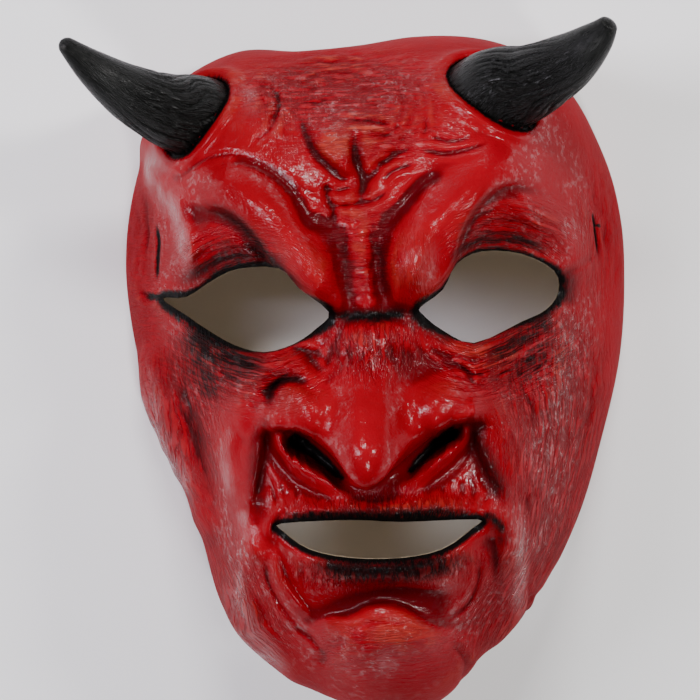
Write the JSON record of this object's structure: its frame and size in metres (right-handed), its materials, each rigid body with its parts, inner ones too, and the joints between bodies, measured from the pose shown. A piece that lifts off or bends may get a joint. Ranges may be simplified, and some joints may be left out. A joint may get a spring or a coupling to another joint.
{
  "type": "devil mask",
  "caption": "Hollow red latex devil face mask with black horns set in its forehead, open eyes and mouth, open at the back.",
  "frame": {"origin": "on the ground, under the middle of the whole mask with its horns", "axes": "the mask lies on its rim: +Z out of the face, +Y towards the crown, +X towards the viewer's right"},
  "size_m": [0.1872, 0.2308, 0.1181],
  "materials": {
    "red latex": "glossy painted latex",
    "black latex": "satin painted latex"
  },
  "bodies": {
    "root": {"mask": "red latex", "horn_left": "black latex", "horn_right": "black latex"}
  },
  "joints": []
}
